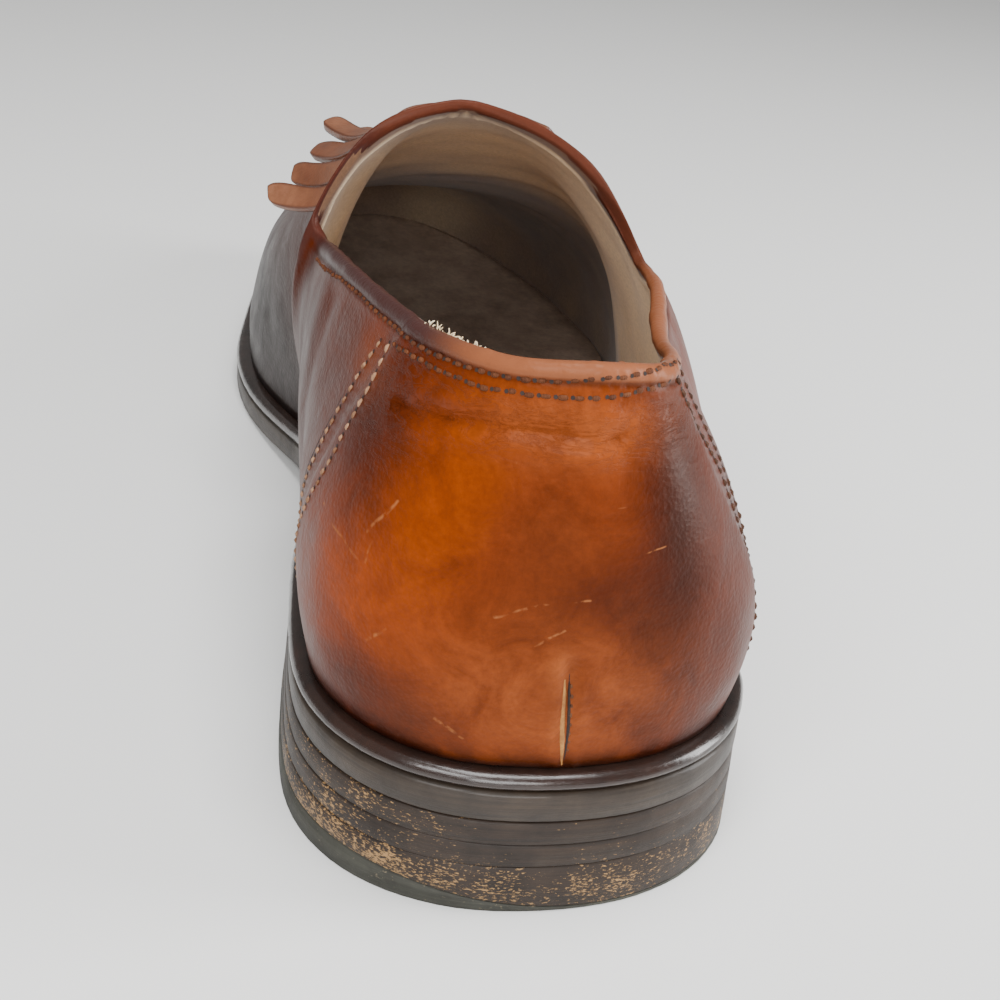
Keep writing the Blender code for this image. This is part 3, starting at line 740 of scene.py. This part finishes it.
def smoothPath(points, count):
    # a Catmull-Rom curve through given points
    points = [Vector(p) for p in points]
    ends = [points[0] * 2 - points[1]] + points + [points[-1] * 2 - points[-2]]
    out = []
    for i in range(1, len(ends) - 2):
        a, b, c, d = ends[i - 1:i + 3]
        for k in range(count):
            t = k / count
            out.append(0.5 * ((2 * b) + (c - a) * t + (2 * a - 5 * b + 4 * c - d) * t * t
                              + (3 * b - a - 3 * c + d) * t ** 3))
    out.append(ends[-2])
    return out


def stitchRow(bm, points, pitch, length, radius, jitter):
    # a stitch from each point towards the next, a little uneven as hand work is
    for (a, na), (b, nb) in zip(points, points[1:]):
        if (b - a).length < pitch * 0.5:
            continue
        run = (b - a).normalized()
        side = run.cross(na).normalized() * draw.uniform(-jitter, jitter)
        normal = (na + nb).normalized()
        laidThread(bm, a + side, a + side + run * length * draw.uniform(0.82, 1.04), normal,
                   radius * draw.uniform(0.8, 1.12))


stitching = {
    "pitch": 0.0023,
    "length": 0.0019,
    "radius": 0.00043,
    "colours": ((0.125, 0.040, 0.014), (0.050, 0.014, 0.005)),
    # painted shade: the needle holes, the slits and the shadow line beside a seam
    "gapColours": ((0.020, 0.008, 0.005), (0.010, 0.004, 0.003)),
    "gapSize": (0.00030, 0.00024),  # half width and height of the dark line beside a seam
    "rows": {  # round the collar, just under the rolled topline
        "first": [(-0.0300, 0.0560, 0.0735), (-0.0298, 0.0420, 0.0765), (-0.0282, 0.0239, 0.0802),
                  (-0.0251, 0.0049, 0.0821), (-0.0238, -0.0053, 0.0833), (-0.0193, -0.0175, 0.0844),
                  (-0.0151, -0.0243, 0.0853), (-0.0107, -0.0286, 0.0861), (-0.0054, -0.0311, 0.0867),
                  (0.0000, -0.0328, 0.0879), (0.0068, -0.0310, 0.0880), (0.0110, -0.0270, 0.0880),
                  (0.0150, -0.0200, 0.0875)],
        "second": [(-0.0240, -0.0040, 0.0812), (-0.0210, -0.0137, 0.0824), (-0.0186, -0.0188, 0.0828),
                   (-0.0143, -0.0252, 0.0834), (-0.0105, -0.0285, 0.0841), (-0.0052, -0.0312, 0.0846),
                   (0.0002, -0.0328, 0.0853), (0.0074, -0.0310, 0.0857), (0.0115, -0.0270, 0.0856)],
    },
}


def outwardAt(point):
    # away from the middle of the heel, for points round the collar
    away = Vector((point.x - 0.002, min(0.0, point.y - 0.012), 0.0))
    return (away.normalized() + Vector((0, 0, 0.25))).normalized()


def makeCollarStitches():
    print("stage: collar stitches")
    for name, points in stitching["rows"].items():
        bm = bmesh.new()
        holes = bmesh.new()
        laid = pathPoints([(p, outwardAt(p)) for p in smoothPath(points, 6)], stitching["pitch"])
        stitchRow(bm, laid, stitching["pitch"], stitching["length"], stitching["radius"], jitter=0.00016)
        needleHoles(holes, laid, radius=0.00034)
        finishPiece(name + "CollarHoles", holes, [paintedGapShade()])
        thread = threadMaterial(name + "CollarThread", *stitching["colours"])
        finishPiece(name + "CollarRow", bm, [thread])


def needleHoles(bm, points, radius):
    # dark specks between the stitches, flat on the leather: painted shade of the needle holes
    for point, normal in points:
        side = normal.orthogonal().normalized()
        turn = Matrix((side, normal.cross(side), normal)).transposed().to_4x4()
        turn.translation = point + normal * 0.00006
        bmesh.ops.create_circle(bm, cap_ends=True, segments=6, radius=radius, matrix=turn)


# The quarters' back seams: pale waxed thread on the inner side, dark thread on the outer side
seamLines = {
    "medialSeam": {
        "rows": [[(-0.0252, 0.0015, 0.0795), (-0.0287, 0.0037, 0.0717), (-0.0319, 0.0060, 0.0630),
                  (-0.0345, 0.0110, 0.0521), (-0.0355, 0.0150, 0.0430), (-0.0355, 0.0190, 0.0330),
                  (-0.0350, 0.0210, 0.0285)],
                 [(-0.0240, -0.0020, 0.0805), (-0.0269, -0.0042, 0.0754), (-0.0303, -0.0036, 0.0673),
                  (-0.0332, -0.0022, 0.0595), (-0.0355, 0.0020, 0.0509), (-0.0362, 0.0060, 0.0430),
                  (-0.0360, 0.0100, 0.0330), (-0.0350, 0.0120, 0.0280)]],
        "outward": (-1, -0.15, 0.1),
        "edgeShift": (0.0, 0.0013, 0.0),
        "colours": ((0.40, 0.235, 0.14), (0.13, 0.055, 0.025)),
    },
    "lateralSeam": {
        "rows": [[(0.0150, -0.0180, 0.0850), (0.0192, -0.0159, 0.0781), (0.0240, -0.0140, 0.0705),
                  (0.0290, -0.0128, 0.0617), (0.0325, -0.0100, 0.0480), (0.0330, -0.0070, 0.0330),
                  (0.0325, -0.0055, 0.0280)],
                 [(0.0120, -0.0240, 0.0850), (0.0150, -0.0235, 0.0810), (0.0206, -0.0190, 0.0728),
                  (0.0260, -0.0165, 0.0652), (0.0305, -0.0145, 0.0480), (0.0315, -0.0120, 0.0330),
                  (0.0310, -0.0105, 0.0280)]],
        "outward": (0.75, -0.6, 0.15),
        "edgeShift": (0.0012, 0.0008, 0.0),
        "colours": ((0.075, 0.032, 0.016), (0.030, 0.012, 0.006)),
    },
}


def makeSeams():
    # two rows of stitches to each seam, and the quarter's cut edge as a thin dark line, painted as its
    # shadow
    print("stage: seams")
    for name, seam in seamLines.items():
        bm = bmesh.new()
        holes = bmesh.new()
        for points in seam["rows"]:
            laid = pathPoints([(p, seam["outward"]) for p in smoothPath(points, 6)], stitching["pitch"])
            stitchRow(bm, laid, stitching["pitch"], stitching["length"], stitching["radius"], jitter=0.0002)
            needleHoles(holes, laid, radius=0.00036)
        finishPiece(name, bm, [threadMaterial(name + "Thread", *seam["colours"])])
        finishPiece(name + "Holes", holes, [paintedGapShade()])
        edge = [p + Vector(seam["edgeShift"]) for p in smoothPath(seam["rows"][0], 6)]
        ribbon(name + "Gap", edge, seam["outward"], stitching["gapSize"], paintedGapShade())


def paintedGapShade():
    # painted shade in needle holes and slits, and the painted shadow beside a cut edge
    return plainLeather("paintedGapShade", *stitching["gapColours"], 0.8, 500)


def ribbon(name, path, outward, size, mat):
    # a thin raised strip laid on the skin, domed across, with its ends drawn in
    width, height = size
    step, sunk = 0.0009, 0.0002
    points = pathPoints([(p, outward) for p in path], step)
    last = len(points) - 1
    bm = bmesh.new()
    bmesh.ops.create_grid(bm, x_segments=6, y_segments=last, size=1)
    for v in bm.verts:
        across, index = v.co.x, round((v.co.y + 1) / 2 * last)
        p, n = points[index]
        fade = math.sin(math.pi * min(1.0, max(0.04, index / last))) ** 0.4
        fade *= 1 + 0.18 * noise.noise(p * 900)
        run = points[min(index + 1, last)][0] - points[max(index - 1, 0)][0]
        dome = math.sqrt(max(0.0, 1 - across * across))
        v.co = p + run.cross(n).normalized() * across * width * fade + n * (height * dome * fade - sunk)
    return finishPiece(name, bm, [mat])


def plainLeather(name, colour, shade, roughness, scale, bumpDepth=0.0006):
    # cloudy two-tone leather without burnish or scratches
    mat, tree, shader = newMaterial(name)
    place = objectPlace(tree)
    cloudy = noiseOf(tree, place, scale, 5, 0.65)
    fine = noiseOf(tree, place, scale * 6, 3, 0.7)
    tone = mixColour(tree, ramp(tree, cloudy, 0.3, 0.7), colour, shade)
    tone = shaded(tree, tone, ramp(tree, fine, 0.3, 0.7, 0.85, 1.12))
    tree.links.new(tone, shader.inputs["Base Color"])
    rough = ramp(tree, cloudy, 0.3, 0.7, roughness - 0.05, roughness + 0.08)
    tree.links.new(rough, shader.inputs["Roughness"])
    low = bump(tree, shader, cloudy, 0.3, bumpDepth)
    bump(tree, shader, fine, 0.3, bumpDepth * 0.4, low)
    return mat


dart = {  # the frayed slit up the middle of the heel's back
    "lipLine": [(0.0006, -0.0350, 0.0272), (-0.0003, -0.0360, 0.0344), (-0.0007, -0.0366, 0.0398),
                (-0.0012, -0.0369, 0.0445)],
    "slitLine": [(0.0009, -0.0350, 0.0272), (0.0006, -0.0360, 0.0344), (0.0001, -0.0366, 0.0398),
                 (-0.0005, -0.0369, 0.0459)],
    "outward": (0, -1, 0.05),
    "lipSize": (0.00055, 0.00050),  # half width and height
    "slitSize": (0.00030, 0.00040),
    "lipColours": ((0.42, 0.19, 0.035), (0.20, 0.065, 0.012)),
    "threadColours": ((0.16, 0.07, 0.03), (0.06, 0.02, 0.01)),
    "pitch": 0.0017,
    "length": 0.0009,
    "radius": 0.00024,
}


def makeDart():
    print("stage: dart at the heel's back")
    outward = dart["outward"]
    lip = plainLeather("frayedLip", *dart["lipColours"], 0.7, 500)
    ribbon("dartLip", smoothPath(dart["lipLine"], 6), outward, dart["lipSize"], lip)
    slit = smoothPath(dart["slitLine"], 6)
    # painted shade: the slit is a dark strip
    ribbon("dartSlit", slit, outward, dart["slitSize"], paintedGapShade())
    bm = bmesh.new()
    laid = pathPoints([(p + Vector((0.0003, 0, 0)), outward) for p in slit[2:-2]], dart["pitch"])
    stitchRow(bm, laid, dart["pitch"], dart["length"], dart["radius"], jitter=0.0001)
    finishPiece("dartStitches", bm, [threadMaterial("dartThread", *dart["threadColours"])])


fray = {
    "count": 60,
    "start": (-0.0198, -0.0085, 0.0860),  # along the inner side's turned-in edge
    "end": (-0.0140, -0.0192, 0.0866),
    "colours": ((0.80, 0.68, 0.48), (0.60, 0.44, 0.26)),
}


def makeFray():
    # loose pale fibres where the turned-in edge is frayed, rooted on the leather
    print("stage: frayed fibres")
    bm = bmesh.new()
    for _ in range(fray["count"]):
        root = Vector(fray["start"]).lerp(Vector(fray["end"]), draw.random())
        root += Vector((draw.uniform(-0.0008, 0.0008), draw.uniform(-0.0008, 0.0008),
                        draw.uniform(-0.0014, 0.0)))
        hit, normal, _, _ = skinTree.find_nearest(root)
        turn = Vector((draw.uniform(-0.4, 1), draw.uniform(-0.4, 1), draw.uniform(-0.2, 0.8))).normalized()
        end = hit + turn * draw.uniform(0.0005, 0.0013) + normal * 0.0002
        laidThread(bm, hit - normal * 0.0001, end, normal, draw.uniform(0.00008, 0.00017), 0.0)
    finishPiece("frayedFibres", bm, [threadMaterial("paleFibre", *fray["colours"])])


makeCollarStitches()
makeSeams()
makeDart()
makeFray()


# Kiltie

fringe = {
    "light": (0.200, 0.078, 0.036),
    "shade": (0.105, 0.030, 0.012),
    # painted shade at the strips' edges
    "edge": (0.075, 0.022, 0.010),
    "coat": 0.15,
    "coatRoughness": 0.3,
    "grain": 1500,
    "crease": 0.55,
    "sharpAngle": 0.9,
    "levels": 2,
    "waviness": 0.00020,
}


def kiltieLeather():
    mat, tree, shader = newMaterial("satinFringe")
    place = objectPlace(tree)
    wide = noiseOf(tree, place, 70, 4, 0.6)
    cloudy = noiseOf(tree, place, 300, 4, 0.65)
    colour = mixColour(tree, ramp(tree, wide, 0.3, 0.7), fringe["light"], fringe["shade"])
    # painted shade: darker where the strips bend sharply
    colour = mixColour(tree, attributeOf(tree, "edge"), colour, fringe["edge"])
    colour = shaded(tree, colour, ramp(tree, cloudy, 0.3, 0.7, 0.84, 1.12))
    tree.links.new(colour, shader.inputs["Base Color"])
    tree.links.new(ramp(tree, cloudy, 0.3, 0.7, 0.34, 0.48), shader.inputs["Roughness"])
    shader.inputs["Coat Weight"].default_value = fringe["coat"]
    shader.inputs["Coat Roughness"].default_value = fringe["coatRoughness"]
    pores = put(tree, "ShaderNodeTexVoronoi", Scale=fringe["grain"])
    tree.links.new(place, pores.inputs["Vector"])
    low = bump(tree, shader, cloudy, 0.25, 0.0008)
    bump(tree, shader, pores.outputs["Distance"], 0.16, 0.0003, low)
    return mat


def bendAngles(mesh):
    # the sharpest angle between two faces at each vertex
    bm = bmesh.new()
    bm.from_mesh(mesh)
    angles = [max(edge.calc_face_angle(0.0) for edge in v.link_edges) for v in bm.verts]
    bm.free()
    return angles


def makeKiltie():
    print("stage: kiltie")
    bm = mergedCopy("kiltie")
    creaseSharp(bm, fringe["sharpAngle"], fringe["crease"])
    mesh = subdivided(bm, "fringedTongue", fringe["levels"])
    # painted shade: the strips darker where they bend sharply, at their edges
    edges = [soften(angle, 0.30, 0.75) for angle in bendAngles(mesh)]
    for vertex, normal in zip(mesh.vertices, [v.normal.copy() for v in mesh.vertices]):
        vertex.co += normal * fringe["waviness"] * noise.noise(vertex.co * 160)
    writeAttribute(mesh, "edge", edges)
    return addPiece("fringedTongue", mesh, [kiltieLeather()], "kiltie")


makeKiltie()


# Welt, sole and heel

def edgeLeather(name, colour, shade, roughness, streak, coat=0.0, scuff=None):
    # burnished edge: fine lines that run along the layers, with fibre scuffs
    mat, tree, shader = newMaterial(name)
    place = objectPlace(tree)
    lines = noiseOf(tree, objectPlace(tree, (0.10, 0.10, 3.4)), streak, 6, 0.72)
    cloudy = noiseOf(tree, place, 120, 5, 0.65)
    colour = mixColour(tree, ramp(tree, cloudy, 0.3, 0.7), colour, shade)
    colour = shaded(tree, colour, ramp(tree, lines, 0.30, 0.70, 0.58, 1.55))
    if scuff:
        tint, amount = scuff
        fibres = noiseOf(tree, objectPlace(tree, (0.55, 0.55, 1.3)), 2300, 4, 0.65, 0.3)
        patches = ramp(tree, noiseOf(tree, place, 150, 4, 0.6), 0.35, 0.65, -0.05, 0.07)
        level = maths(tree, "ADD", fibres, maths(tree, "ADD", patches, attributeOf(tree, "worn")))
        colour = mixColour(tree, ramp(tree, level, 0.66, 0.74, 0.0, amount), colour, tint)
    tree.links.new(colour, shader.inputs["Base Color"])
    rough = ramp(tree, cloudy, 0.3, 0.7, roughness - 0.04, roughness + 0.08)
    tree.links.new(rough, shader.inputs["Roughness"])
    shader.inputs["Specular IOR Level"].default_value = 0.35
    shader.inputs["Coat Weight"].default_value = coat
    shader.inputs["Coat Roughness"].default_value = 0.16
    low = bump(tree, shader, lines, 0.30, 0.0006)
    bump(tree, shader, cloudy, 0.25, 0.0010, low)
    return mat


def softCopy(node, name, mat, crease, shape=None, worn=None, lowered=False):
    # a CAD node softened once, shaped by a function and marked with its wear
    bm = mergedCopy(node)
    creaseSharp(bm, 0.6, crease)
    mesh = subdivided(bm, name, 1)
    values = []
    for vertex, normal in zip(mesh.vertices, [v.normal.copy() for v in mesh.vertices]):
        point = vertex.co.copy()
        if lowered:
            point.z -= wornAmount(point) * (1 - soften(point.z, 0.0050, 0.0088))
        values.append(worn(point) if worn else 0.0)
        vertex.co = shape(point, normal) if shape else point
    writeAttribute(mesh, "worn", values)
    return addPiece(name, mesh, [mat], node)


heelWear = {
    "thin": 0.0039,  # how much thinner the top piece is at its outer side
    "thick": 0.0045,  # the top piece unworn
    "from": -0.022,  # across the shoe, where it starts to thin
    "to": 0.020,
    "pressed": 0.00017,  # closes the CAD gap between two layers
    "waviness": 0.00014,  # of the cut edges
}


def handDressed(point, normal):
    # a hair of hand-dressed waviness on cut edges, and layers pressed together
    flat = 1 - min(1.0, abs(normal.z) * 1.4)
    point = point + normal * flat * heelWear["waviness"] * noise.noise(point * 240)
    if abs(normal.z) > 0.3 and point.z < 0.019:
        point.z = max(0.0, point.z + math.copysign(heelWear["pressed"], normal.z))
    return point


def wornAmount(point):
    # zero on the inner side and at the breast, full at the outer back corner
    return heelWear["thin"] * soften(point.x - 0.35 * point.y, heelWear["from"], heelWear["to"]) \
        * (1 - soften(point.y, 0.010, 0.040))


def wornHeel(point, normal):
    point.z *= 1 - wornAmount(point) / heelWear["thick"]
    return handDressed(point, normal)


def stackScuff(point):
    # scuffed at the back of the inner side, and low down all round
    back = 0.11 * (1 - soften(point.x, -0.034, 0.004)) * (1 - soften(point.y, -0.025, 0.02))
    low = 0.12 * (1 - soften(point.z, 0.0035 + 0.0030 * soften(point.x, -0.02, 0.02), 0.0120))
    return back + low - 0.03


edgeFinishes = {  # colour, shade, roughness, streaks to a metre, coat, and the scuffs' tint and strength
    "glossyRand": ((0.022, 0.011, 0.008), (0.009, 0.005, 0.004), 0.22, 180, 0.5),
    "burnishedSole": ((0.032, 0.021, 0.013), (0.014, 0.009, 0.006), 0.50, 260, 0.15),
    "stackedHeel": ((0.024, 0.0135, 0.0075), (0.011, 0.006, 0.0035), 0.58, 300, 0.05,
                    ((0.34, 0.195, 0.075), 0.9)),
    "heelRubber": ((0.040, 0.040, 0.031), (0.024, 0.023, 0.018), 0.66, 200, 0.0,
                   ((0.20, 0.16, 0.10), 0.6)),
}


def makeSole():
    print("stage: welt, sole and heel")
    rand, sole, stack, rubber = (edgeLeather(name, *values) for name, values in edgeFinishes.items())
    softCopy("welt", "randStrip", rand, 0.35, handDressed)
    softCopy("outsole", "soleBody", sole, 1.0, handDressed)
    for index, node in enumerate(("heel_lift_1", "heel_lift_2", "heel_lift_3")):
        softCopy(node, "stackLayer" + str(index), stack, 1.0, handDressed, stackScuff,
                 lowered=index == 0)  # the lowest layer follows the worn top piece
    softCopy("heel_top_piece", "wornRubber", rubber, 1.0, wornHeel, lambda p: 0.02)
    sock = plainLeather("darkSock", (0.520, 0.400, 0.320), (0.330, 0.240, 0.185), 0.50, 120, 0.0008)
    softCopy("insole", "sockLining", sock, 0.4)


makeSole()


# Stage, light and camera

studio = {
    "floor": (0.80, 0.80, 0.79),
    "eye": (-0.05739, -0.22955, 0.16956),
    "yaw": 0.06442,
    "pitch": 0.53547,
    "roll": 0.02007,
    "lens": 59.6,  # millimetres on a 36 mm sensor
    "turn": (0.1471, 0.0692),  # towards the shoe's middle, as a share of the photograph's focal length
    "world": (1.0, 0.99, 0.97, 1),
    "worldStrength": 0.26,
    "panels": {  # place, what it faces, size in metres and power in watts
        "backLeft": ((-0.42, -0.55, 0.62), (0, 0.0, 0.05), (0.35, 0.35), 5.0),
        "right": ((0.80, -0.10, 0.30), (0.03, 0.0, 0.06), (0.30, 0.6), 9.0),
        "overhead": ((0.02, -0.10, 0.95), (0, 0.06, 0.05), (0.5, 0.5), 11.0),
        "lowFill": ((-0.10, -0.95, 0.42), (0, 0.06, 0.06), (0.5, 0.35), 7.5),
    },
}


def makeFloor():
    bm = bmesh.new()
    bmesh.ops.create_grid(bm, x_segments=8, y_segments=8, size=9.0)
    mesh = bpy.data.meshes.new("studioFloor")
    bm.to_mesh(mesh)
    bm.free()
    mat, tree, shader = newMaterial("paleFloor")
    shader.inputs["Base Color"].default_value = (*studio["floor"], 1)
    shader.inputs["Roughness"].default_value = 0.85
    mesh.materials.append(mat)
    floor = bpy.data.objects.new("studioFloor", mesh)
    bpy.context.scene.collection.objects.link(floor)


def addPanel(name, spot, target, size, power):
    data = bpy.data.lights.new(name, "AREA")
    data.shape = "RECTANGLE"
    data.size, data.size_y = size
    data.energy = power
    lamp = bpy.data.objects.new(name, data)
    lamp.location = spot
    lamp.rotation_euler = (Vector(target) - Vector(spot)).to_track_quat("-Z", "Y").to_euler()
    bpy.context.scene.collection.objects.link(lamp)


def makeLight():
    world = bpy.data.worlds.new("studio")
    world.use_nodes = True
    background = world.node_tree.nodes["Background"]
    background.inputs["Color"].default_value = studio["world"]
    background.inputs["Strength"].default_value = studio["worldStrength"]
    bpy.context.scene.world = world
    for name, values in studio["panels"].items():
        addPanel(name, *values)


def makeCamera():
    # the photograph's eye and angle, turned towards the one shoe
    data = bpy.data.cameras.new("view")
    data.lens = studio["lens"]
    data.sensor_width = 36
    data.clip_start = 0.01
    camera = bpy.data.objects.new("view", data)
    yaw, pitch, roll = studio["yaw"], studio["pitch"], studio["roll"]
    forward = Vector((math.sin(yaw) * math.cos(pitch), math.cos(yaw) * math.cos(pitch), -math.sin(pitch)))
    right = Vector((math.cos(yaw), -math.sin(yaw), 0))
    up = right.cross(forward)
    x = right * math.cos(roll) + up * math.sin(roll)
    y = -right * math.sin(roll) + up * math.cos(roll)
    forward = (forward + x * studio["turn"][0] + y * studio["turn"][1]).normalized()
    y = (y - forward * y.dot(forward)).normalized()
    x = forward.cross(y)
    turn = Matrix((x, y, -forward)).transposed()
    camera.rotation_euler = turn.to_euler()
    camera.location = studio["eye"]
    bpy.context.scene.collection.objects.link(camera)
    bpy.context.scene.camera = camera


print("stage: light and camera")
makeFloor()
makeLight()
makeCamera()
